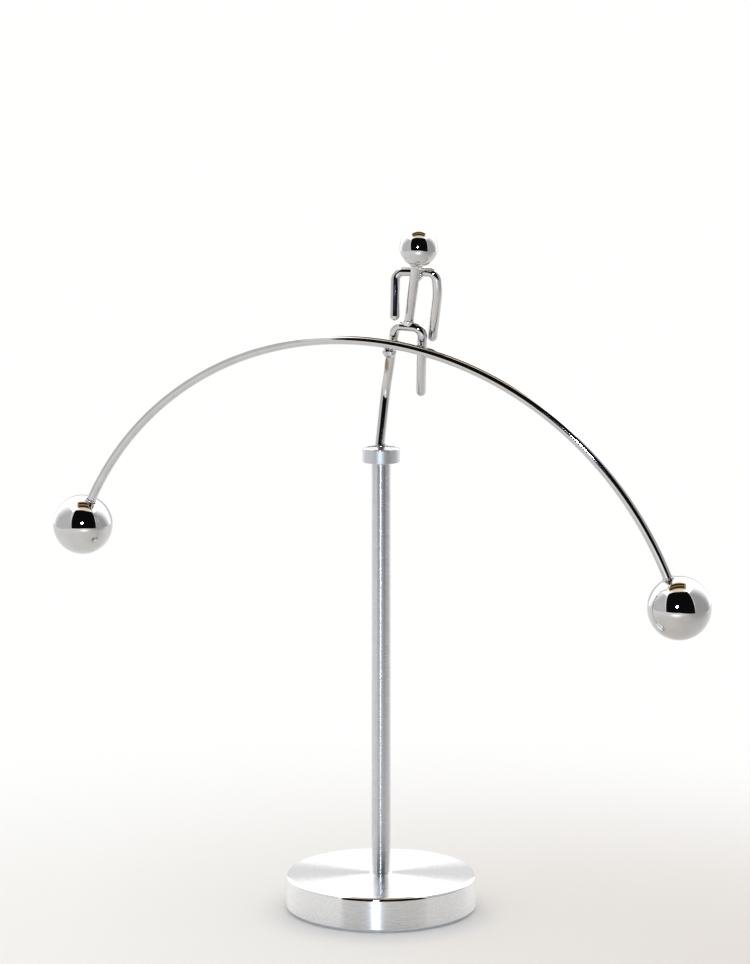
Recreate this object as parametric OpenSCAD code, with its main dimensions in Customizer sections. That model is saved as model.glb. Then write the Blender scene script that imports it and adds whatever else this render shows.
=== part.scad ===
// Counterweight balancing toy: a wire figure standing on one toe in the dish of a slim post,
// held upright by two balls that hang on a long arched bar.
// Millimetres, +Z up, origin at the centre of the base's underside, bar along X, viewer at -Y.

/* [Stand] */
// Diameter of the turned base
base_d = 60; // [54:1:70]
// Height of the base
base_h = 11.2; // [10:0.2:14]
// Chamfer on both rims of the base
base_chamfer = 1; // [0.6:0.1:1.4]
// Diameter of the post
post_d = 6; // [5.4:0.1:7]
// Free length of the post between base and cap
post_len = 131; // [110:1:140]
// Diameter of the cap on the post
cap_d = 11.6; // [10.6:0.2:13]
// Height of the cap
cap_h = 4.4; // [4.2:0.1:6]
// Depth of the dish in the cap's top
dish_depth = 0.5; // [0.3:0.05:0.7]
// Width of the rim round the dish
rim_w = 0.6; // [0.4:0.1:1]

/* [Base screw] */
// Thread diameter of the screw that holds the post
screw_d = 3.5; // [3:0.5:4]
// Diameter of the screw's head
screw_head_d = 7; // [6:0.5:8]
// Thickness of the screw's head
screw_head_h = 2.4; // [2:0.2:3]

/* [Toe] */
// Diameter of the ball the figure stands on
toe_ball_d = 2.5; // [2.3:0.1:2.6]
// Wall of the bead between toe ball and leg
bead_wall = 0.3; // [0.25:0.05:0.35]

/* [Bar and balls] */
// Diameter of the bar's wire
bar_d = 3; // [2.6:0.1:3.2]
// Radius of the bar's arch
bar_radius = 106.8; // [100:0.1:112]
// Height of the bar's middle above the toe
bar_top = 33.7; // [32.6:0.1:34]
// Shift of the bar's middle to the left of the toe
bar_shift = 2.6; // [0:0.1:3]
// Turn of the bar along its arch to the right
bar_turn = 0.16; // [0:0.02:0.3]
// Mean diameter of the end balls
ball_d = 19.4; // [17:0.1:21]
// How much larger the right ball is than the left, which sets the lean at rest
ball_diff = 0.24; // [0:0.02:0.4]
// Angle from the arch's top to each ball
ball_angle = 71; // [66:0.1:74]
// How far each ball's centre lies behind the bar
ball_back = 1; // [0:0.1:2.2]
// How deep the bar's ends go into the balls
ball_hole = 4; // [3:0.5:5]

/* [Figure] */
// Diameter of the legs' wire
leg_d = 3; // [2.7:0.1:3.1]
// Diameter of the torso's and the arms' wire
limb_d = 3; // [2.8:0.1:3.2]
// Diameter of the head
head_d = 11.5; // [11:0.1:12.4]
// Height of the standing knee above the toe
knee_h = 17.3; // [16:0.1:19]
// Height of the hips above the bar's middle
hip_rise = 5.2; // [5:0.1:7]
// Distance between the legs at the hips
hip_w = 9; // [8.6:0.1:9.6]
// Drop of the free foot below the hips
free_drop = 22; // [20:0.5:24]
// How far the free foot swings back
free_back = 7; // [5:0.5:8]
// Height of the shoulders above the hips
shoulder_rise = 17.8; // [17:0.1:20]
// Distance between the arms at the shoulders
shoulder_w = 13.2; // [12.8:0.1:13.8]
// Drop of the left hand below the shoulders
left_drop = 13.2; // [12:0.2:14]
// Drop of the right hand below the shoulders
right_drop = 21.4; // [20:0.2:22]
// Height of the head's centre above the shoulders
head_rise = 8.8; // [8.6:0.1:11]

/* [Rest pose] */
// Lean of the figure to its heavy side
rest_tilt = 3.5; // [0:0.5:6]
// Lean of the figure towards the viewer
rest_nod = 6.5; // [0:0.5:9]

/* [Hidden] */
$fn = 96;
run_gap = 0.05;
seat_gap = 0.02;
hole_gap = 0.06;
lap = 0.02;
tuck = 0.25;
post_seat = 2;
spigot_d = 4;
spigot_len = 2.4;
screw_grip = 9;
head_recess = 0.6;
head_room = 0.5;
bore_end = 1;
dimple_depth = 0.4;
toe_r = toe_ball_d / 2;
bead_in = toe_r + run_gap;
bead_out = bead_in + bead_wall;
cup_r = bead_out + run_gap;
bead_rim = 0.45;
cap_top = base_h + post_len + cap_h;
dish_r = cap_d / 2 - rim_w;
dish_sphere = (dish_r * dish_r + dish_depth * dish_depth) / (2 * dish_depth);
pivot = [0, 0, cap_top - dish_depth - dimple_depth + toe_r + run_gap];
screw_seat = screw_head_h + head_recess;

// Points of the figure, measured from the toe before it leans: right, back, up
hip_h = bar_top + hip_rise;
shoulder_h = hip_h + shoulder_rise;
head_h = shoulder_h + head_rise;
hip_x = 8.65;
hip_slope = 0.2;
toe_x = -0.5;
toe_lift = 0.5;
knee_x = 0.15;
knee_back = 2.6;
knee = [knee_x, knee_back, knee_h];
hip_left = [hip_x - hip_w / 2, 0, hip_h];
hip_right = [hip_x + hip_w / 2, 0, hip_h + hip_slope];
free_in = 3;
free_knee_in = 1;
free_knee_back = 2;
free_knee = hip_right + [-free_knee_in, free_knee_back, -free_drop / 2];
free_foot = hip_right + [-free_in, free_back, -free_drop];
torso_x = 8.5;
torso_foot = [torso_x, 0, hip_h + (leg_d + limb_d) / 4];
head_x = 14.3;
head_front = 7.2;
head_c = [head_x, -head_front, head_h];
torso_dir = (head_c - torso_foot) / norm(head_c - torso_foot);
neck_in = 3;
torso_head = head_c - torso_dir * (head_d / 2 - neck_in);
shoulder_on_torso = torso_foot + torso_dir * (shoulder_h - torso_foot[2]) / torso_dir[2];
shoulder_y = shoulder_on_torso[1] + limb_d / sqrt(1 - torso_dir[1] * torso_dir[1]);
shoulder_x = 11.2;
shoulder_slope = 1;
shoulder_left = [shoulder_x - shoulder_w / 2, shoulder_y, shoulder_h - shoulder_slope / 2];
shoulder_right = [shoulder_x + shoulder_w / 2, shoulder_y, shoulder_h + shoulder_slope / 2];
left_in = 1;
left_front = 2.6;
left_hand = shoulder_left + [left_in, -left_front, -left_drop];
elbow_out = 0.3;
elbow_back = 0.9;
elbow_share = 0.3;
right_in = 2.7;
right_back = 4.9;
right_elbow = shoulder_right + [elbow_out, elbow_back, -right_drop * elbow_share];
right_hand = shoulder_right + [-right_in, right_back, -right_drop];
hip_bend = 2.7;
shoulder_bend = 2.5;
knee_bend = 15;

// Place where the bar crosses the standing leg
cross_at = (bar_top - knee_h) / (hip_h - knee_h);
leg_cross = knee + (hip_left - knee) * cross_at;

// Bar in its own plane in front of the standing leg
bar_gap = 0.05;
bar_y = leg_cross[1] - (leg_d + bar_d) / 2 - bar_gap;
bar_c = [-bar_shift, bar_y, bar_top - bar_radius];
bar_half = entry_angle(0) + ball_hole / bar_radius * 180 / PI;

function unit(v) = v / norm(v);

// Angles that turn X, Y and Z to the directions ex and ez
function turn(ex, ez) =
    let (ey = cross(ez, ex))
    [atan2(ey[2], ez[2]), atan2(-ex[2], norm([ey[2], ez[2]])), atan2(ex[1], ex[0])];

// Angles that turn Z to the direction d
function aim(d) = [0, acos(d[2] / norm(d)), atan2(d[1], d[0])];

// Angle between the two runs that meet at point b, and how much of each run its bend takes
function corner(a, b, c) = acos(unit(b - a) * unit(c - b));
function trim(p, r, i) =
    i == 0 || i == len(p) - 1 ? 0 : r[i] * tan(corner(p[i - 1], p[i], p[i + 1]) / 2);

// Half outline of a run's end from the axis outwards: round where the wire ends, else flat
function run_end(d, open) =
    open ? [for (k = [0 : 6]) d / 2 * [sin(15 * k), 1 - cos(15 * k)]] : [[0, 0], [d / 2, 0]];
function run_outline(l, d, open_a, open_b) =
    let (a = run_end(d, open_a), b = run_end(d, open_b), last = len(b) - 1)
    concat(a, [for (k = [0 : last]) [b[last - k][0], l - b[last - k][1]]]);

// Straight run of wire from a to b
module run(a, b, d, open_a = false, open_b = false) {
    translate(a)
        rotate(aim(b - a))
            rotate_extrude()
                polygon(run_outline(norm(b - a), d, open_a, open_b));
}

// Bend of radius r round the point b between the runs to a and c
module bend(a, b, c, r, d) {
    u = unit(b - a);
    v = unit(c - b);
    ang = acos(u * v);
    n = unit(cross(u, v));
    to_centre = cross(n, u);
    translate(b - u * r * tan(ang / 2) + to_centre * r)
        rotate(turn(-to_centre, n))
            rotate_extrude(angle = ang)
                translate([r, 0])
                    circle(d = d);
}

// Wire through the points p with the bend radii r; its runs tuck into the slightly fuller bends
module wire(p, r, d, open_first, open_last) {
    last = len(p) - 1;
    for (i = [0 : last - 1]) {
        u = unit(p[i + 1] - p[i]);
        first_run = i == 0;
        last_run = i == last - 1;
        from = first_run ? p[0] - u * (open_first ? d / 2 : 0) : p[i] + u * (trim(p, r, i) - tuck);
        to = last_run ? p[last] + u * (open_last ? d / 2 : 0) : p[i + 1] - u * (trim(p, r, i + 1) - tuck);
        run(from, to, d, first_run && open_first, last_run && open_last);
    }
    for (i = [1 : last - 1])
        bend(p[i - 1], p[i], p[i + 1], r[i], d + 2 * lap);
}

// The figure's own frame: at the toe, leaning as it rests
module at_rest() {
    translate(pivot)
        rotate([rest_nod, 0, 0])
            rotate([0, rest_tilt, 0])
                children();
}

module legs_shape() {
    wire([[toe_x, 0, toe_lift], knee, hip_left, hip_right, free_knee, free_foot],
         [0, knee_bend, hip_bend, hip_bend, knee_bend, 0], leg_d, false, true);
}

module torso_shape() {
    run(torso_foot, torso_head, limb_d);
}

module arms_shape() {
    wire([left_hand, shoulder_left, shoulder_right, right_elbow, right_hand],
         [0, shoulder_bend, shoulder_bend, knee_bend, 0], limb_d, true, true);
}

// Arch of the bar with half angle a and wire diameter d
module arch(a, d) {
    translate(bar_c)
        rotate([90, 0, 0])
            rotate([0, 0, 90 - bar_turn - a])
                rotate_extrude(angle = 2 * a)
                    translate([bar_radius, 0])
                        circle(d = d);
}

// Place of a point on the arch at the angle a to the right of its top
function on_arch(a) = bar_c + bar_radius * [sin(a + bar_turn), 0, cos(a + bar_turn)];
function ball_c(side) = on_arch(side * ball_angle) + [0, ball_back, 0];
function ball_size(side) = ball_d + side * ball_diff / 2;

// Angle from the arch's top at which the bar enters the ball on that side
function entry_angle(side) =
    let (off = sqrt(pow(ball_size(side) / 2, 2) - ball_back * ball_back))
    ball_angle - 2 * asin(off / 2 / bar_radius);

module base_disc() {
    color("silver")
        difference() {
            rotate_extrude()
                polygon([[0, 0], [base_d / 2 - base_chamfer, 0], [base_d / 2, base_chamfer],
                         [base_d / 2, base_h - base_chamfer], [base_d / 2 - base_chamfer, base_h],
                         [0, base_h]]);
            translate([0, 0, base_h - post_seat])
                cylinder(h = base_h, d = post_d + 2 * seat_gap);
            translate([0, 0, -base_h])
                cylinder(h = 2 * base_h, d = screw_d + 2 * seat_gap);
            translate([0, 0, -base_h])
                cylinder(h = base_h + screw_seat, d = screw_head_d + 2 * head_room);
        }
}

module base_screw() {
    slot_w = 1;
    slot_depth = screw_head_h / 2;
    color("gray")
        difference() {
            union() {
                translate([0, 0, head_recess])
                    cylinder(h = screw_head_h, d = screw_head_d);
                translate([0, 0, screw_seat])
                    cylinder(h = base_h - post_seat - screw_seat + screw_grip, d = screw_d);
            }
            translate([0, 0, head_recess])
                cube([2 * screw_head_d, slot_w, 2 * slot_depth], center = true);
        }
}

module post() {
    color("lightgray")
        difference() {
            union() {
                translate([0, 0, base_h - post_seat])
                    cylinder(h = post_len + post_seat, d = post_d);
                translate([0, 0, base_h + post_len])
                    cylinder(h = spigot_len, d = spigot_d);
            }
            cylinder(h = base_h - post_seat + screw_grip + bore_end, d = screw_d + 2 * seat_gap);
        }
}

module cap() {
    color("gainsboro")
        difference() {
            translate([0, 0, base_h + post_len])
                cylinder(h = cap_h, d = cap_d);
            translate([0, 0, cap_top - dish_depth + dish_sphere])
                sphere(r = dish_sphere);
            translate(pivot)
                sphere(r = toe_r + run_gap);
            cylinder(h = base_h + post_len + spigot_len + seat_gap, d = spigot_d + 2 * seat_gap);
        }
}

module toe_ball() {
    color("silver")
        translate(pivot)
            sphere(d = toe_ball_d);
}

// Round shell over the top of the toe ball, concentric with it, so that both lean without parting
module toe_bead() {
    color("silver")
        translate(pivot)
            difference() {
                sphere(r = bead_out);
                sphere(r = bead_in);
                translate([0, 0, bead_rim - 2 * bead_out])
                    cylinder(h = 2 * bead_out, r = 2 * bead_out);
            }
}

module legs_wire() {
    color("silver")
        at_rest()
            difference() {
                legs_shape();
                sphere(r = cup_r);
            }
}

module torso_wire() {
    color("silver")
        at_rest()
            difference() {
                torso_shape();
                legs_shape();
            }
}

module arms_wire() {
    color("silver")
        at_rest()
            arms_shape();
}

module head_ball() {
    color("silver")
        at_rest()
            difference() {
                translate(head_c)
                    sphere(d = head_d);
                run(torso_foot, torso_head + torso_dir * seat_gap, limb_d + 2 * seat_gap);
            }
}

// Ring of weld round a wire of diameter d at point a, pointing along dir
module weld_ring(a, dir, d) {
    ring_r = 0.7;
    translate(a)
        rotate(aim(dir))
            rotate_extrude()
                translate([d / 2, 0])
                    circle(r = ring_r);
}

module neck_weld() {
    color("gray")
        at_rest()
            difference() {
                weld_ring(head_c - torso_dir * (head_d / 2), torso_dir, limb_d);
                run(torso_foot, torso_head, limb_d);
                translate(head_c)
                    sphere(d = head_d);
            }
}

module shoulder_weld() {
    weld_r = 1.7;
    drop = 0.9;
    color("gray")
        at_rest()
            difference() {
                translate([shoulder_on_torso[0], shoulder_y - limb_d / 2, shoulder_h - drop])
                    sphere(r = weld_r);
                torso_shape();
                arms_shape();
            }
}

module hip_weld() {
    weld_r = 1.9;
    color("gray")
        at_rest()
            difference() {
                translate(torso_foot)
                    sphere(r = weld_r);
                torso_shape();
                legs_shape();
            }
}

module bar() {
    color("silver")
        at_rest()
            arch(bar_half, bar_d);
}

module bar_weld() {
    weld_r = 2.1;
    drop = 2.9;
    shift = 0.5;
    a = asin((leg_cross[0] - bar_c[0]) / bar_radius) - bar_turn;
    bar_at = on_arch(a);
    reach = bar_d * [cos(a + bar_turn), 0, -sin(a + bar_turn)];
    color("gray")
        at_rest()
            difference() {
                translate([leg_cross[0] - shift, (leg_cross[1] + bar_y) / 2, bar_top - drop])
                    rotate([90, 0, 0])
                        sphere(r = weld_r);
                run(knee, hip_left, leg_d);
                run(bar_at - reach, bar_at + reach, bar_d + 2 * seat_gap);
            }
}

// End ball, turned so that its seam faces away from the bar
module end_ball(side) {
    difference() {
        translate(ball_c(side))
            rotate([0, 0, side < 0 ? 180 : 0])
                sphere(d = ball_size(side));
        arch(bar_half + hole_gap, bar_d + 2 * hole_gap);
    }
}

module end_weld(side) {
    a = side * entry_angle(side);
    along = [cos(a + bar_turn), 0, -sin(a + bar_turn)];
    reach = along * bar_d;
    difference() {
        weld_ring(on_arch(a), along, bar_d);
        run(on_arch(a) - reach, on_arch(a) + reach, bar_d + 2 * seat_gap);
        translate(ball_c(side))
            sphere(d = ball_size(side));
    }
}

module ball_left() {
    color("silver")
        at_rest()
            end_ball(-1);
}

module ball_right() {
    color("silver")
        at_rest()
            end_ball(1);
}

module ball_weld_left() {
    color("gray")
        at_rest()
            end_weld(-1);
}

module ball_weld_right() {
    color("gray")
        at_rest()
            end_weld(1);
}

base_disc();
base_screw();
post();
cap();
toe_ball();
toe_bead();
legs_wire();
torso_wire();
arms_wire();
head_ball();
neck_weld();
shoulder_weld();
hip_weld();
bar();
bar_weld();
ball_left();
ball_right();
ball_weld_left();
ball_weld_right();
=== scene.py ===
"""Looks of the balancing toy: turned stand, chromed wire figure and polished balls in a white tent."""
import math

import bmesh
import bpy
from mathutils import Matrix, Vector, noise


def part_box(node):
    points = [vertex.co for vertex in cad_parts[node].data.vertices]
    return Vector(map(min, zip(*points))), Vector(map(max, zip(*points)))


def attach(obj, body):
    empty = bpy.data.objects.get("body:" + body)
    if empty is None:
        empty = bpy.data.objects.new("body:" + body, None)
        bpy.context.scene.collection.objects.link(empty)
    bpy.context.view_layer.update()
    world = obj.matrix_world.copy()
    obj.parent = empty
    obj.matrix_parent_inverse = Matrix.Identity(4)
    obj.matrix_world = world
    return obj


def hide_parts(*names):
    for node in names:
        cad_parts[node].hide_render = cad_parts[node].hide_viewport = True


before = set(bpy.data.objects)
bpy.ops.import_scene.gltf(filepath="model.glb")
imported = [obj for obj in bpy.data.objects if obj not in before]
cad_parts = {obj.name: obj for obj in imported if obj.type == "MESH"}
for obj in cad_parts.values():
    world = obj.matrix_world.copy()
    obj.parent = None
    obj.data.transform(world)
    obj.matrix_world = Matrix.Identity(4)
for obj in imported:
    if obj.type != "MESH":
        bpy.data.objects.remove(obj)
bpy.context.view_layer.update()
scene = bpy.context.scene
MM = 0.001

# Camera at the photograph's viewing angle
AZIMUTH = math.radians(22.7)
TOWARDS = Vector((math.sin(AZIMUTH), -math.cos(AZIMUTH), 0))
SIDEWAYS = Vector((math.cos(AZIMUTH), math.sin(AZIMUTH), 0))
CAMERA_AT = Vector((0.3898, -0.9318, 0.2913))
PITCH = math.radians(8.749)
PAN = -0.0019
FOCAL_PX = 3295.7
IMAGE_H = 964
SENSOR = 36
CLIP_NEAR, CLIP_FAR = 0.01, 200

camera_data = bpy.data.cameras.new("camera")
camera_data.sensor_width = SENSOR
camera_data.lens = FOCAL_PX / IMAGE_H * SENSOR
camera_data.clip_start = CLIP_NEAR
camera_data.clip_end = CLIP_FAR
camera = bpy.data.objects.new("camera", camera_data)
scene.collection.objects.link(camera)
camera.location = CAMERA_AT
level_look = -TOWARDS * math.cos(PAN) + SIDEWAYS * math.sin(PAN)
look = level_look * math.cos(PITCH) - Vector((0, 0, math.sin(PITCH)))
camera.rotation_euler = look.to_track_quat("-Z", "Y").to_euler()
scene.camera = camera
scene.view_settings.view_transform = "Standard"


# Material helpers
def new_material(name):
    """A node material and its tree and main shader."""
    mat = bpy.data.materials.new(name)
    mat.use_nodes = True
    return mat, mat.node_tree, mat.node_tree.nodes["Principled BSDF"]


def add(tree, kind, **properties):
    """A node with its properties set."""
    node = tree.nodes.new(kind)
    for key, value in properties.items():
        setattr(node, key, value)
    return node


def ramp(tree, source, low, high, a, b, smooth=False):
    """Maps source from the range low..high to a..b."""
    node = add(tree, "ShaderNodeMapRange")
    if smooth:
        node.interpolation_type = "SMOOTHSTEP"
    for key, value in (("From Min", low), ("From Max", high), ("To Min", a), ("To Max", b)):
        node.inputs[key].default_value = value
    tree.links.new(source, node.inputs["Value"])
    return node.outputs["Result"]


def math_node(tree, operation, *values):
    """A sum, product or the like of values, each a number or another node's output."""
    node = add(tree, "ShaderNodeMath", operation=operation)
    for socket, value in zip(node.inputs, values):
        if isinstance(value, (int, float)):
            socket.default_value = value
        else:
            tree.links.new(value, socket)
    return node.outputs["Value"]


def mix_colour(tree, factor, a, b):
    """Mixes two colours, each a tuple or another node's output, by a factor."""
    node = add(tree, "ShaderNodeMix", data_type="RGBA")
    tree.links.new(factor, node.inputs[0])
    for socket, value in ((node.inputs[6], a), (node.inputs[7], b)):
        if isinstance(value, tuple):
            socket.default_value = (*value, 1)
        else:
            tree.links.new(value, socket)
    return node.outputs[2]


def grain(tree, place, scale, detail):
    """Noise of the given scale over a place."""
    node = add(tree, "ShaderNodeTexNoise")
    node.inputs["Scale"].default_value = scale
    node.inputs["Detail"].default_value = detail
    tree.links.new(place, node.inputs["Vector"])
    return node.outputs["Fac"]


def position(tree):
    """The place in space of the point that is shaded."""
    return add(tree, "ShaderNodeNewGeometry").outputs["Position"]


def distance_to(tree, place, point):
    """Distance from a place on the surface to a point."""
    apart = add(tree, "ShaderNodeVectorMath", operation="DISTANCE")
    tree.links.new(place, apart.inputs[0])
    apart.inputs[1].default_value = tuple(point)
    return apart.outputs["Value"]


def reach_along(tree, place, direction):
    """How far a place lies along a direction."""
    reach = add(tree, "ShaderNodeVectorMath", operation="DOT_PRODUCT")
    tree.links.new(place, reach.inputs[0])
    reach.inputs[1].default_value = tuple(direction)
    return reach.outputs["Value"]


def raise_by(tree, shader, height, strength, distance):
    """Bump of the surface by a height."""
    bump = add(tree, "ShaderNodeBump")
    bump.inputs["Strength"].default_value = strength
    bump.inputs["Distance"].default_value = distance
    tree.links.new(height, bump.inputs["Height"])
    tree.links.new(bump.outputs["Normal"], shader.inputs["Normal"])


def scaled(tint, factor):
    """A colour made lighter or darker."""
    return tuple(min(c * factor, 1) for c in tint)


# Range that noise mostly keeps to
GRAIN_LOW, GRAIN_HIGH = 0.3, 0.7

# Polished plating: grain per metre, share by which clouds dull it, bump and the reach of the painted brown
# reflection in metres
CLOUD_SCALE, RIPPLE_SCALE, RAGGED_SCALE = 260, 420, 700
CLOUD_DULLING = 0.3
RIPPLE_RELIEF = 0.0002
REFLECTION_SQUEEZE = (1, 1, 0.3)
REFLECTION_NEAR, REFLECTION_FAR, REFLECTION_RAGGED = 0.0014, 0.0021, 0.0006
REFLECTION_BROWN = (0.27, 0.2, 0.16)


def brown_reflection_strip(tree, place, colour, point):
    """Painted reflection: browns a colour in an upright strip with a ragged edge round a point."""
    squeezed = add(tree, "ShaderNodeVectorMath", operation="MULTIPLY")
    tree.links.new(place, squeezed.inputs[0])
    squeezed.inputs[1].default_value = REFLECTION_SQUEEZE
    middle = [p * s for p, s in zip(point, REFLECTION_SQUEEZE)]
    ragged = math_node(tree, "MULTIPLY", grain(tree, place, RAGGED_SCALE, 3), REFLECTION_RAGGED)
    spread = math_node(tree, "ADD", distance_to(tree, squeezed.outputs["Vector"], middle), ragged)
    return mix_colour(tree, ramp(tree, spread, REFLECTION_NEAR, REFLECTION_FAR, 1, 0, True), colour, REFLECTION_BROWN)


def chrome(name, tint, rough, ripple=0.0, cloud=0.05, reflection_at=None):
    """Polished plating: faint clouds in tone and gloss, a slight ripple, and a painted brown reflection
    near a weld.
    """
    mat, tree, shader = new_material(name)
    place = add(tree, "ShaderNodeTexCoord").outputs["Object"]
    clouds = grain(tree, place, CLOUD_SCALE, 4)
    share = ramp(tree, clouds, GRAIN_LOW, GRAIN_HIGH, 0, 1)
    colour = mix_colour(tree, share, scaled(tint, 1 - cloud), scaled(tint, 1 + cloud))
    if reflection_at is not None:
        colour = brown_reflection_strip(tree, place, colour, reflection_at)
    tree.links.new(colour, shader.inputs["Base Color"])
    dull = ramp(tree, share, 0, 1, rough * (1 - CLOUD_DULLING), rough * (1 + CLOUD_DULLING))
    tree.links.new(dull, shader.inputs["Roughness"])
    shader.inputs["Metallic"].default_value = 1
    if ripple:
        raise_by(tree, shader, grain(tree, place, RIPPLE_SCALE, 2), ripple, RIPPLE_RELIEF)
    return mat


# Turned metal: mottle per metre, share by which rings dull it, relief in metres, slopes of bright-cut edges
MOTTLE_SCALE = 420
RING_DULLING = 0.15
GROOVE_RELIEF = 0.00005
EDGE_SLOPE, EDGE_BAND, EDGE_POLISH = 0.5, 0.44, 0.8
QUARTER_TURN = 0.25


def turned(name, tint, rough, spread, grooves, depth, mottle, contrast):
    """Lathe-turned metal: fine rings round the Z axis that spread the highlights across them."""
    mat, tree, shader = new_material(name)
    place = add(tree, "ShaderNodeTexCoord").outputs["Object"]
    split = add(tree, "ShaderNodeSeparateXYZ")
    tree.links.new(place, split.inputs["Vector"])
    flat = add(tree, "ShaderNodeCombineXYZ")
    tree.links.new(split.outputs["X"], flat.inputs["X"])
    tree.links.new(split.outputs["Y"], flat.inputs["Y"])
    radius = add(tree, "ShaderNodeVectorMath", operation="LENGTH")
    tree.links.new(flat.outputs["Vector"], radius.inputs[0])
    across = math_node(tree, "ADD", split.outputs["Z"], radius.outputs["Value"])
    rings = add(tree, "ShaderNodeTexNoise", noise_dimensions="1D")
    rings.inputs["Scale"].default_value = grooves
    rings.inputs["Detail"].default_value = 3
    tree.links.new(across, rings.inputs["W"])
    level = math_node(tree, "MULTIPLY", grain(tree, place, MOTTLE_SCALE, 4), mottle)
    level = math_node(tree, "ADD", level, rings.outputs["Fac"])
    level = ramp(tree, level, GRAIN_LOW * (1 + mottle), GRAIN_HIGH * (1 + mottle), 0, 1)
    colour = mix_colour(tree, level, scaled(tint, 1 - contrast), scaled(tint, 1 + contrast))
    tree.links.new(colour, shader.inputs["Base Color"])
    facing = add(tree, "ShaderNodeSeparateXYZ")
    tree.links.new(add(tree, "ShaderNodeNewGeometry").outputs["Normal"], facing.inputs["Vector"])
    slope = math_node(tree, "ABSOLUTE", facing.outputs["Z"])
    edge = math_node(tree, "COMPARE", slope, EDGE_SLOPE, EDGE_BAND)
    dull = ramp(tree, level, 0, 1, rough * (1 - RING_DULLING), rough * (1 + RING_DULLING))
    keep = math_node(tree, "SUBTRACT", 1, math_node(tree, "MULTIPLY", edge, EDGE_POLISH))
    tree.links.new(math_node(tree, "MULTIPLY", dull, keep), shader.inputs["Roughness"])
    shader.inputs["Metallic"].default_value = 1
    shader.inputs["Anisotropic"].default_value = spread
    shader.inputs["Anisotropic Rotation"].default_value = QUARTER_TURN
    tangent = add(tree, "ShaderNodeTangent", direction_type="RADIAL", axis="Z")
    tree.links.new(tangent.outputs["Tangent"], shader.inputs["Tangent"])
    raise_by(tree, shader, rings.outputs["Fac"], depth, GROOVE_RELIEF)
    return mat


# Shape helpers
def piece(name, mesh, body, nodes, material):
    """A finished piece that rides on a body and stands for CAD nodes."""
    obj = bpy.data.objects.new(name, mesh)
    scene.collection.objects.link(obj)
    mesh.materials.clear()
    mesh.materials.append(material)
    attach(obj, body)
    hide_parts(*nodes)


def finish_mesh(mesh, sharp):
    """Smooth shading; edges sharper than the given angle in degrees stay crisp."""
    mesh.shade_smooth()
    mesh.set_sharp_from_angle(angle=math.radians(sharp))
    mesh.update()
    return mesh


def mesh_from(name, verts, faces, sharp):
    """A smooth-shaded mesh from points and faces."""
    mesh = bpy.data.meshes.new(name)
    mesh.from_pydata([tuple(v) for v in verts], [], faces)
    mesh.validate()
    return finish_mesh(mesh, sharp)


def arc(centre_r, centre_z, radius, start, end, count=8):
    """Points of a round stretch of an outline, between two angles in degrees from the outward side."""
    turns = [math.radians(start + (end - start) * k / count) for k in range(count + 1)]
    return [(centre_r + radius * math.cos(t), centre_z + radius * math.sin(t)) for t in turns]


def lathe(name, outline, sides=160, sharp=20):
    """Turns an outline of (radius, height) in millimetres round the Z axis."""
    verts, faces, rings = [], [], []
    for r, z in outline:
        if r == 0:
            rings.append([len(verts)] * sides)
            verts.append(Vector((0, 0, z * MM)))
            continue
        rings.append(list(range(len(verts), len(verts) + sides)))
        for k in range(sides):
            t = 2 * math.pi * k / sides
            verts.append(Vector((r * math.cos(t), r * math.sin(t), z)) * MM)
    for low, high in zip(rings, rings[1:]):
        for k in range(sides):
            n = (k + 1) % sides
            loop = []
            for v in (low[k], low[n], high[n], high[k]):
                if v not in loop:
                    loop.append(v)
            if len(loop) > 2:
                faces.append(loop)
    return mesh_from(name, verts, faces, sharp)


def rounded_path(points, radii, step=0.25, run_step=2.0):
    """Points along a wire: straight runs with a true arc of the given radius at each corner."""
    path = [points[0]]
    for i in range(1, len(points) - 1):
        a, b, c = points[i - 1], points[i], points[i + 1]
        u, v = (b - a).normalized(), (c - b).normalized()
        angle = u.angle(v)
        normal = u.cross(v).normalized()
        start = b - u * radii[i] * math.tan(angle / 2)
        centre = start + normal.cross(u) * radii[i]
        count = max(3, int(radii[i] * angle / step))
        for k in range(count + 1):
            path.append(centre + Matrix.Rotation(angle * k / count, 3, normal) @ (start - centre))
    path.append(points[-1])
    dense = [path[0]]
    for a, b in zip(path, path[1:]):
        parts = max(1, int((b - a).length / run_step))
        dense += [a.lerp(b, (k + 1) / parts) for k in range(parts)]
    return dense


def tube(name, path, diameter, round_ends, sides=40, end_rings=8, sharp=60):
    """A wire of round section swept along a path without twist, with round or flat ends."""
    r = diameter / 2
    last = len(path) - 1
    tangents = [(path[min(i + 1, last)] - path[max(i - 1, 0)]).normalized() for i in range(last + 1)]
    stations = [(place, along, r) for place, along in zip(path, tangents)]
    turns = [math.pi / 2 * (k + 0.5) / end_rings for k in range(end_rings)]
    first, final = tangents[0], tangents[-1]
    if round_ends[0]:
        tip = [(path[0] - first * r * math.cos(t), first, r * math.sin(t)) for t in turns]
        stations = tip + stations
    if round_ends[1]:
        tip = [(path[-1] + final * r * math.cos(t), final, r * math.sin(t)) for t in turns]
        stations += tip[::-1]
    side = first.orthogonal().normalized()
    verts, faces, rings = [], [], []
    for place, along, radius in stations:
        side = (side - along * side.dot(along)).normalized()
        up = along.cross(side)
        rings.append(range(len(verts), len(verts) + sides))
        for k in range(sides):
            t = 2 * math.pi * k / sides
            verts.append(place + (side * math.cos(t) + up * math.sin(t)) * radius)
    for low, high in zip(rings, rings[1:]):
        for k in range(sides):
            n = (k + 1) % sides
            faces.append([low[k], low[n], high[n], high[k]])
    faces.append(list(rings[0])[::-1])
    faces.append(list(rings[-1]))
    return mesh_from(name, verts, faces, sharp)


def baked(obj, name):
    """The mesh of an object with its modifiers worked in; the object itself goes."""
    bpy.context.view_layer.update()
    shown = obj.evaluated_get(bpy.context.evaluated_depsgraph_get())
    mesh = bpy.data.meshes.new_from_object(shown)
    mesh.name = name
    bpy.data.objects.remove(obj)
    return mesh


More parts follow.
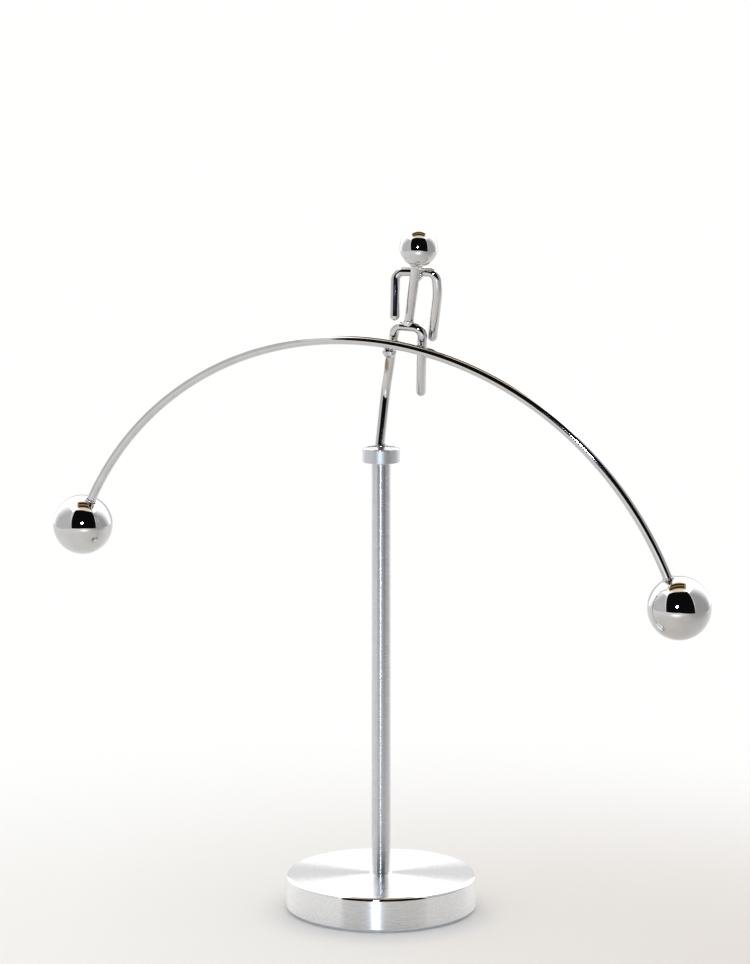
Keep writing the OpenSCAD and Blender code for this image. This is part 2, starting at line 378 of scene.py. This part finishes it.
def working_object(mesh):
    """An object to work on a mesh, which doesn't stay in the scene."""
    obj = bpy.data.objects.new("working", mesh)
    scene.collection.objects.link(obj)
    return obj


def cut_away(mesh, centre, radius, fineness=5, sharp=35):
    """The mesh with a ball cut out of it."""
    bm = bmesh.new()
    bmesh.ops.create_icosphere(bm, subdivisions=fineness, radius=radius)
    bmesh.ops.translate(bm, verts=bm.verts, vec=centre)
    ball = bpy.data.meshes.new("cutter")
    bm.to_mesh(ball)
    bm.free()
    cutter = working_object(ball)
    obj = working_object(mesh)
    cut = obj.modifiers.new("cut", "BOOLEAN")
    cut.operation = "DIFFERENCE"
    cut.object = cutter
    result = baked(obj, mesh.name + "_cut")
    bpy.data.objects.remove(cutter)
    return finish_mesh(result, sharp)


# Finishes
CHROME = (0.585, 0.58, 0.578)
BALL = chrome("ball_chrome", CHROME, rough=0.03)
WIRE = chrome("wire_chrome", CHROME, rough=0.045, ripple=0.02)
WELD = chrome("weld_chrome", (0.62, 0.615, 0.61), rough=0.13, ripple=0.7, cloud=0.25)
TOE = chrome("toe_steel", (0.3, 0.3, 0.31), rough=0.2, ripple=0.2, cloud=0.2)
SCREW = chrome("screw_steel", (0.5, 0.5, 0.52), rough=0.3, ripple=0.2, cloud=0.15)
BASE = turned("turned_base", (0.87, 0.87, 0.88), rough=0.285, spread=1,
              grooves=3200, depth=0.09, mottle=0.2, contrast=0.05)
POST = turned("brushed_post", (0.61, 0.625, 0.65), rough=0.25, spread=0.93,
              grooves=3200, depth=0.22, mottle=0.9, contrast=0.1)
CAP = turned("turned_cap", (0.6, 0.605, 0.615), rough=0.46, spread=0.45,
             grooves=5000, depth=0.12, mottle=0.25, contrast=0.06)

# Stand: base, rod and cap, in millimetres, with the sizes of the frame's boxes
base_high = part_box("base_disc")[1] / MM
post_low, post_high = (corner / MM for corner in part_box("post"))
cap_low, cap_high = (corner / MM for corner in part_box("cap"))
BASE_R, BASE_H = base_high.x, base_high.z
CAP_R, CAP_FOOT, CAP_TOP = cap_high.x, cap_low.z, cap_high.z
POST_R, POST_FOOT = post_high.x, post_low.z

# Edges of the stand; HOLD is a narrow band beside an edge that keeps the shading of the wall straight
BASE_EDGE, BASE_BROW, CAP_EDGE, CREASE, HOLD, SEAT = 1.0, 1.3, 0.3, 0.12, 0.1, 0.02
GROOVE_W, GROOVE_H = 0.55, 0.6
BORE_R, RECESS_R, RECESS_H = 1.77, 4, 3
RIM_W, DISH_DEPTH, WALL_W, WALL_H = 0.6, 0.5, 0.1, 0.36
PIVOT_Z, DIMPLE_R, CUP_R = 147.0, 1.3, 1.65
TOP_RINGS = (0.8, 0.6, 0.4, 0.2)
BASE_SIDES, BROW_STEPS, CREASE_STEPS, DISH_RINGS = 240, 20, 4, 24

base_outline = [(BORE_R, POST_FOOT), (BORE_R, RECESS_H), (RECESS_R, RECESS_H)]
base_outline += [(RECESS_R, CREASE), (RECESS_R + CREASE, 0), (BASE_R - BASE_EDGE - CREASE, 0)]
base_outline += [(BASE_R - BASE_EDGE, CREASE / 4), (BASE_R - CREASE / 4, BASE_EDGE)]
base_outline += [(BASE_R, BASE_EDGE + CREASE), (BASE_R, BASE_EDGE + CREASE + HOLD)]
base_outline += [(BASE_R, BASE_H - BASE_BROW - HOLD)]
base_outline += arc(BASE_R - BASE_BROW, BASE_H - BASE_BROW, BASE_BROW, 0, 90, BROW_STEPS)
base_outline += [(BASE_R - BASE_BROW - HOLD, BASE_H)]
base_outline += [(BASE_R * share, BASE_H) for share in TOP_RINGS]
base_outline += [(POST_R + GROOVE_W, BASE_H), (POST_R + 3 * SEAT, BASE_H - GROOVE_H)]
base_outline += [(POST_R + SEAT, POST_FOOT), (BORE_R, POST_FOOT)]
base_mesh = lathe("base_turned", base_outline, BASE_SIDES)
piece("base_turned", base_mesh, "stand", ["base_disc"], BASE)

rod_outline = [(0, POST_FOOT), (POST_R, POST_FOOT), (POST_R, CAP_FOOT - CREASE)]
rod_outline += [(POST_R - CREASE, CAP_FOOT), (0, CAP_FOOT)]
piece("post_rod", lathe("post_rod", rod_outline), "stand", ["post"], POST)

dish_r = CAP_R - RIM_W - WALL_W
dish_rise = DISH_DEPTH - WALL_H
dish_sphere = (dish_r ** 2 + dish_rise ** 2) / (2 * dish_rise)


def dish_height(r):
    """Height of the cap's dish, with the dimple at its middle, at the radius r."""
    z = CAP_TOP - DISH_DEPTH + dish_sphere - math.sqrt(dish_sphere ** 2 - r * r)
    return min(z, PIVOT_Z - math.sqrt(DIMPLE_R ** 2 - r * r)) if r < DIMPLE_R else z


dish_radii = [dish_r * k / DISH_RINGS for k in range(DISH_RINGS, -1, -1)]
cap_outline = [(POST_R, CAP_FOOT)]
cap_outline += arc(CAP_R - CREASE, CAP_FOOT + CREASE, CREASE, -90, 0, CREASE_STEPS)
cap_outline += [(CAP_R, CAP_FOOT + CREASE + HOLD), (CAP_R, CAP_TOP - CAP_EDGE - HOLD)]
cap_outline += arc(CAP_R - CAP_EDGE, CAP_TOP - CAP_EDGE, CAP_EDGE, 0, 90)
cap_outline += [(dish_r + WALL_W, CAP_TOP)]
cap_outline += [(r, dish_height(r)) for r in dish_radii]
piece("cap_turned", lathe("cap_turned", cap_outline), "stand", ["cap"], CAP)

# Screw and toe keep their CAD shapes
for node, finish in (("base_screw", SCREW), ("toe_ball", TOE), ("toe_bead", TOE)):
    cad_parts[node].data.materials.clear()
    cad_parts[node].data.materials.append(finish)

# Figure: points as in the CAD, in millimetres from the toe before it leans
REST_TILT, REST_NOD = math.radians(3.5), math.radians(6.5)
LEAN = Matrix.Rotation(REST_NOD, 4, "X") @ Matrix.Rotation(REST_TILT, 4, "Y")
REST = Matrix.Translation((0, 0, PIVOT_Z)) @ LEAN
WIRE_D = 3.0
BAR_R, BAR_TOP, BAR_SHIFT, BAR_GAP = 106.8, 33.7, 2.6, 0.05
BAR_TURN, BAR_HALF = math.radians(0.16), math.radians(67.97)
BAR_STEPS = 240
HIP_H, HIP_RISE, SHOULDER_H, SHOULDER_RISE, HEAD_H = 38.9, 0.2, 56.7, 0.5, 65.5
HIP_BEND, SHOULDER_BEND, KNEE_BEND, NECK_SHORT = 2.7, 2.5, 15, 2.75
toe_end = Vector((-0.5, 0, 0.5))
knee = Vector((0.15, 2.6, 17.3))
hip_left = Vector((4.15, 0, HIP_H))
hip_right = Vector((13.15, 0, HIP_H + HIP_RISE))
free_knee = hip_right + Vector((-1, 2, -11))
free_foot = hip_right + Vector((-3, 7, -22))
torso_foot = Vector((8.5, 0, HIP_H + WIRE_D / 2))
head_c = Vector((14.3, -7.2, HEAD_H))
torso_dir = (head_c - torso_foot).normalized()
torso_top = head_c - torso_dir * NECK_SHORT
shoulder_at = torso_foot + torso_dir * (SHOULDER_H - torso_foot.z) / torso_dir.z
shoulder_y = shoulder_at.y + WIRE_D / math.sqrt(1 - torso_dir.y ** 2)
shoulder_left = Vector((4.6, shoulder_y, SHOULDER_H - SHOULDER_RISE))
shoulder_right = Vector((17.8, shoulder_y, SHOULDER_H + SHOULDER_RISE))
left_hand = shoulder_left + Vector((1, -2.6, -13.2))
right_elbow = shoulder_right + Vector((0.3, 0.9, -6.42))
right_hand = shoulder_right + Vector((-2.7, 4.9, -21.4))
leg_cross = knee.lerp(hip_left, (BAR_TOP - knee.z) / (HIP_H - knee.z))
# Middle of the painted brown reflection strip on the standing leg, below where the bar crosses it
reflection_place = leg_cross + Vector((-2.2, -1.4, -8))
bar_c = Vector((-BAR_SHIFT, leg_cross.y - WIRE_D - BAR_GAP, BAR_TOP - BAR_R))


def posed(point):
    """A point of the figure in metres, leaned as the toy rests."""
    return (REST @ point) * MM


def wire_mesh(name, points, radii, round_ends):
    """A bent wire of the figure."""
    path = [posed(p) for p in rounded_path(points, radii)]
    return tube(name, path, WIRE_D * MM, round_ends)


# The legs' chrome carries the painted brown reflection
LEG = chrome("leg_chrome", CHROME, rough=0.05, ripple=0.04, reflection_at=posed(reflection_place))
legs = wire_mesh("legs_chrome", [toe_end, knee, hip_left, hip_right, free_knee, free_foot],
                 [0, KNEE_BEND, HIP_BEND, HIP_BEND, KNEE_BEND, 0], (False, True))
legs = cut_away(legs, posed(Vector((0, 0, 0))), CUP_R * MM)
piece("legs_chrome", legs, "figure", ["legs_wire"], LEG)
torso = wire_mesh("torso_chrome", [torso_foot, torso_top], [0, 0], (False, False))
piece("torso_chrome", torso, "figure", ["torso_wire"], WIRE)
arms = wire_mesh("arms_chrome", [left_hand, shoulder_left, shoulder_right, right_elbow, right_hand],
                 [0, SHOULDER_BEND, SHOULDER_BEND, KNEE_BEND, 0], (True, True))
piece("arms_chrome", arms, "figure", ["arms_wire"], WIRE)


def on_arch(angle):
    """The bar's middle line at an angle to the right of its top."""
    return bar_c + BAR_R * Vector((math.sin(angle + BAR_TURN), 0, math.cos(angle + BAR_TURN)))


bar_path = [posed(on_arch(BAR_HALF * (2 * k / BAR_STEPS - 1))) for k in range(BAR_STEPS + 1)]
bar_mesh = tube("bar_chrome", bar_path, WIRE_D * MM, (False, False))
piece("bar_chrome", bar_mesh, "figure", ["bar"], WIRE)


def polished(name, node, entry, sides=128, hole=1.56, depth=4.0, lip=0.25, lowest=-88, sharp=40):
    """A mirror-polished ball with the drilled and eased hole where its wire enters."""
    low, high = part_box(node)
    centre = (low + high) / 2
    radius = max(high - low) / 2 / MM
    brim = math.degrees(math.acos((hole + lip) / radius))
    outline = [(0, -radius)] + arc(0, 0, radius, lowest, brim, sides // 2)
    outline += [(hole, outline[-1][1] - lip), (hole, radius - depth), (0, radius - depth)]
    mesh = lathe(name, outline, sides, sharp)
    turn = (entry - centre).to_track_quat("Z", "Y").to_matrix().to_4x4()
    mesh.transform(Matrix.Translation(centre) @ turn)
    piece(name, mesh, "figure", [node], BALL)


BALL_ENTRY = BAR_HALF * 0.96
polished("head_polished", "head_ball", posed(torso_foot))
polished("ball_left_polished", "ball_left", posed(on_arch(-BALL_ENTRY)))
polished("ball_right_polished", "ball_right", posed(on_arch(BALL_ENTRY)))

# Welds: sizes in metres, lumps per metre
WELD_VOXEL, WELD_LUMP, WELD_LUMPS, WELD_MERGE = 0.00012, 0.00022, 1100, 1e-6
WELD_SWELL, BALL_WELD_SWELL = 0.00005, -0.0003
WELD_SMOOTHING, WELD_SHARP = 4, 70


def weld_bead(node, swell):
    """A lumpy weld over the place of the CAD weld, swollen or slimmed."""
    bm = bmesh.new()
    bm.from_mesh(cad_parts[node].data)
    bmesh.ops.remove_doubles(bm, verts=bm.verts, dist=WELD_MERGE)
    mesh = bpy.data.meshes.new(node + "_bead")
    bm.to_mesh(mesh)
    bm.free()
    obj = working_object(mesh)
    even = obj.modifiers.new("even", "REMESH")
    even.mode = "VOXEL"
    even.voxel_size = WELD_VOXEL
    bead = baked(obj, node + "_bead")
    bm = bmesh.new()
    bm.from_mesh(bead)
    for _ in range(WELD_SMOOTHING):
        bmesh.ops.smooth_vert(bm, verts=bm.verts, factor=0.5,
                              use_axis_x=True, use_axis_y=True, use_axis_z=True)
    bm.normal_update()
    for v in bm.verts:
        v.co += v.normal * (WELD_LUMP * noise.noise(v.co * WELD_LUMPS) + swell)
    bm.to_mesh(bead)
    bm.free()
    piece(node + "_bead", finish_mesh(bead, WELD_SHARP), "figure", [node], WELD)


for node in ("neck_weld", "shoulder_weld", "hip_weld", "bar_weld"):
    weld_bead(node, WELD_SWELL)
for node in ("ball_weld_left", "ball_weld_right"):
    weld_bead(node, BALL_WELD_SWELL)


# Stage: white tent with a dark front opening, seen only in reflections
def tent_point(towards, aside, up):
    """A point by its distance towards the camera, sideways and up, in metres."""
    return TOWARDS * towards + SIDEWAYS * aside + Vector((0, 0, up))


def glow(name, colour):
    """A material that only shines, its tree and its shining node."""
    mat = bpy.data.materials.new(name)
    mat.use_nodes = True
    tree = mat.node_tree
    tree.nodes.remove(tree.nodes["Principled BSDF"])
    light = add(tree, "ShaderNodeEmission")
    light.inputs["Color"].default_value = (*colour, 1)
    tree.links.new(light.outputs["Emission"], tree.nodes["Material Output"].inputs["Surface"])
    return mat, tree, light


def tent_object(name, rows, material):
    """A tent cloth through rows of points that only shows in reflections."""
    mesh = bpy.data.meshes.new(name)
    count = len(rows[0])
    faces = []
    for i in range(len(rows) - 1):
        for k in range(count - 1):
            low, high = i * count + k, (i + 1) * count + k
            faces.append([low, low + 1, high + 1, high])
    mesh.from_pydata([tuple(tent_point(*p)) for row in rows for p in row], [], faces)
    mesh.materials.append(material)
    obj = bpy.data.objects.new(name, mesh)
    scene.collection.objects.link(obj)
    obj.visible_camera = False
    obj.visible_diffuse = False
    obj.visible_shadow = False
    obj.visible_transmission = False
    obj.visible_volume_scatter = False


def cloth(name, rows, colour, start, end, strengths):
    """Tent cloth whose light goes over from one strength to the other between two points."""
    mat, tree, light = glow(name, colour)
    a, b = tent_point(*start), tent_point(*end)
    along = (b - a).normalized()
    reach = reach_along(tree, position(tree), along)
    level = ramp(tree, reach, a.dot(along), b.dot(along), *strengths, True)
    tree.links.new(level, light.inputs["Strength"])
    tent_object(name, rows, mat)


def patch(name, rows, colour, strength, middle, inner, outer):
    """A soft-edged patch of light or shade on the tent, round its middle."""
    mat, tree, light = glow(name, colour)
    light.inputs["Strength"].default_value = strength
    span = distance_to(tree, position(tree), tent_point(*middle))
    clear = add(tree, "ShaderNodeBsdfTransparent")
    blend = add(tree, "ShaderNodeMixShader")
    tree.links.new(ramp(tree, span, inner, outer, 1, 0, True), blend.inputs[0])
    tree.links.new(clear.outputs["BSDF"], blend.inputs[1])
    tree.links.new(light.outputs["Emission"], blend.inputs[2])
    tree.links.new(blend.outputs["Shader"], tree.nodes["Material Output"].inputs["Surface"])
    tent_object(name, rows, mat)


def level_rows(near, far, left, right, up):
    """Rows of a level cloth."""
    return [[(near, left, up), (near, right, up)], [(far, left, up), (far, right, up)]]


def upright_rows(foot, top, far, low, high):
    """Rows of a wall from its near edge, which may lean from foot to top, to its upright far edge."""
    return [[(*foot, low), (*far, low)], [(*top, high), (*far, high)]]


def round_rows(towards, aside, up, radius, count=24):
    """Rows of a disc that faces the toy."""
    turns = [2 * math.pi * k / count for k in range(count + 1)]
    rim = [(towards, aside + radius * math.cos(t), up + radius * math.sin(t)) for t in turns]
    return [[(towards, aside, up)] * (count + 1), rim]


# Tent walls: ends of the cloths as distances towards the camera and sideways
WHITE, DARK = (1, 1, 1), (1, 0.9, 0.95)
HEM, ROOF, OPENING_HEM = 0.004, 0.72, 0.012
TENT_BACK, TENT_SIDE, TENT_WIDE = -0.8, 0.75, 1.2
OPENING_LEFT, OPENING_MIDDLE, OPENING_RIGHT = (0.6, -0.62), (0.85, 0.05), (0.36, 0.52)
BACK_LEFT, BACK_RIGHT = (TENT_BACK, -TENT_WIDE), (TENT_BACK, TENT_WIDE)
SIDE_LEFT, SIDE_RIGHT = (TENT_BACK, -TENT_SIDE), (TENT_BACK, TENT_SIDE)
opening_rows = [[(*end, OPENING_HEM) for end in (OPENING_LEFT, OPENING_MIDDLE, OPENING_RIGHT)],
                [(0.5, -0.57, 0.3), (0.8, 0.05, 0.36), (0.36, 0.5, 0.3)],
                [(0.2, -0.36, ROOF), (0.235, 0.05, ROOF), (0.21, 0.36, ROOF)]]
cloth("tent_opening", opening_rows, DARK, start=(0.8, 0, 0), end=(0.3, 0, ROOF), strengths=(0.006, 0.006))
cloth("tent_roof", level_rows(0.25, TENT_BACK, -TENT_WIDE, TENT_WIDE, ROOF), WHITE,
      start=(0.25, 0, 0), end=(-0.5, 0, 0), strengths=(2.2, 1.8))
cloth("tent_left", upright_rows(OPENING_LEFT, (0.2, -0.52), SIDE_LEFT, HEM, ROOF), WHITE,
      start=(0.1, 0, 0.48), end=(-0.3, 0, 0.82), strengths=(0.74, 1.8))
cloth("tent_right", upright_rows(OPENING_RIGHT, (0.24, 0.44), SIDE_RIGHT, HEM, ROOF), WHITE,
      start=(0.14, 0, 0.42), end=(-0.26, 0, 0.76), strengths=(0.5, 1.8))
cloth("tent_back", upright_rows(BACK_LEFT, BACK_LEFT, BACK_RIGHT, HEM, ROOF), WHITE,
      start=(0, 0, 0.3), end=(0, 0, 0.6), strengths=(1.6, 3.0))

# Shade on the tent's back, which gives the darker wedges on the base's top
SHADE_AT, SHADE_HALF, SHADE_LOW, SHADE_HIGH = TENT_BACK + 0.01, 0.6, 0.005, 0.65
shade_left, shade_right = (SHADE_AT, -SHADE_HALF), (SHADE_AT, SHADE_HALF)
patch("tent_back_shade", upright_rows(shade_left, shade_left, shade_right, SHADE_LOW, SHADE_HIGH), WHITE,
      strength=0.77, middle=(SHADE_AT, 0, 0.08), inner=0.3, outer=0.52)

# Brown slot with its golden and cream surround under the roof
CREAM, GOLD, BROWN = (1, 0.87, 0.66), (1, 0.72, 0.36), (0.3, 0.15, 0.06)
SLOT_Z = ROOF - 0.03
GOLD_Z, CREAM_Z = SLOT_Z + 0.01, SLOT_Z + 0.02
SLOT_LEFT, SLOT_RIGHT = -0.21, 0.23
patch("tent_cream", level_rows(0.27, -0.3, -0.36, 0.38, CREAM_Z), CREAM,
      strength=1.2, middle=(0, 0.01, SLOT_Z), inner=0.2, outer=0.38)
patch("tent_gold", level_rows(0.1, -0.21, -0.25, 0.27, GOLD_Z), GOLD,
      strength=0.5, middle=(-0.055, 0.01, SLOT_Z), inner=0.4, outer=0.5)
for name, near, far in (("tent_slot_near", 0.065, -0.03), ("tent_slot_far", -0.07, -0.175)):
    patch(name, level_rows(near, far, SLOT_LEFT, SLOT_RIGHT, SLOT_Z), BROWN,
          strength=0.16, middle=(0, 0, SLOT_Z), inner=0.4, outer=0.5)

# Glow of the flash on the floor, and shade on the floor's right side
GLOW_Z, FLOOR_SHADE_Z = 0.003, 0.002
patch("tent_glow", level_rows(0.58, 0.22, -0.2, 0.16, GLOW_Z), (0.93, 0.97, 1),
      strength=1.9, middle=(0.4, -0.02, 0), inner=0.02, outer=0.17)
patch("tent_floor_shade", level_rows(0.9, -0.5, 0.05, 1.1, FLOOR_SHADE_Z), (0.93, 0.9, 0.9),
      strength=0.6, middle=(0.25, 0.55, 0), inner=0.2, outer=0.55)

# Flash in the opening, with a faint blue halo behind it
FLASH = (0.74, -0.08, 0.31)
FLASH_R, HALO_R = 0.055, 0.11
HALO_AT = (FLASH[0] + 0.01, FLASH[1], FLASH[2])
patch("tent_flash_halo", round_rows(*HALO_AT, HALO_R), (0.24, 0.16, 1),
      strength=0.4, middle=FLASH, inner=0.05, outer=HALO_R)
patch("tent_flash", round_rows(*FLASH, FLASH_R), (0.66, 0.82, 1),
      strength=110, middle=FLASH, inner=0.045, outer=FLASH_R)

# Stage: pale floor with painted shade on its right and a painted contact shadow under the base, that fades
# to white; lengths in metres
FLOOR = 60
LEFT_TONE, RIGHT_SHADE_TONE = (0.905, 0.895, 0.865), (0.79, 0.75, 0.715)
CONTACT_SHADOW_TONE, FAR_TONE = (0.74, 0.735, 0.73), (1, 1, 0.995)
RIGHT_SHADE_FROM, RIGHT_SHADE_TO = -0.1, 0.12
CONTACT_SHADOW_AT, CONTACT_SHADOW_FROM, CONTACT_SHADOW_TO = 0.006, 0.024, 0.041
FADE_AT, FADE_FROM, FADE_TO = 0.1, 0.1, 0.34
FLOOR_ROUGH = 0.9

floor_mesh = bpy.data.meshes.new("floor")
floor_corners = [(-FLOOR, -FLOOR, 0), (FLOOR, -FLOOR, 0), (FLOOR, FLOOR, 0), (-FLOOR, FLOOR, 0)]
floor_mesh.from_pydata(floor_corners, [], [[0, 1, 2, 3]])
floor = bpy.data.objects.new("floor", floor_mesh)
scene.collection.objects.link(floor)
mat, tree, shader = new_material("floor_paper")
where = position(tree)
# Painted shade: the floor darkens towards its right, away from the flash
right_shade = ramp(tree, reach_along(tree, where, SIDEWAYS), RIGHT_SHADE_FROM, RIGHT_SHADE_TO, 0, 1)
# Painted contact shadow: darker floor just round the base, mostly on the side towards the camera
contact_shadow = ramp(tree, distance_to(tree, where, TOWARDS * CONTACT_SHADOW_AT), CONTACT_SHADOW_FROM, CONTACT_SHADOW_TO, 1, 0, True)
fade = ramp(tree, distance_to(tree, where, TOWARDS * FADE_AT), FADE_FROM, FADE_TO, 0, 1, True)
tone = mix_colour(tree, right_shade, LEFT_TONE, RIGHT_SHADE_TONE)
tone = mix_colour(tree, contact_shadow, tone, CONTACT_SHADOW_TONE)
tone = mix_colour(tree, fade, tone, FAR_TONE)
tree.links.new(tone, shader.inputs["Base Color"])
shader.inputs["Roughness"].default_value = FLOOR_ROUGH
shader.inputs["Specular IOR Level"].default_value = 0
floor_mesh.materials.append(mat)

# White surroundings
world = bpy.data.worlds.new("tent_white")
scene.world = world
world.use_nodes = True
background = world.node_tree.nodes["Background"]
background.inputs["Color"].default_value = (*WHITE, 1)
background.inputs["Strength"].default_value = 1
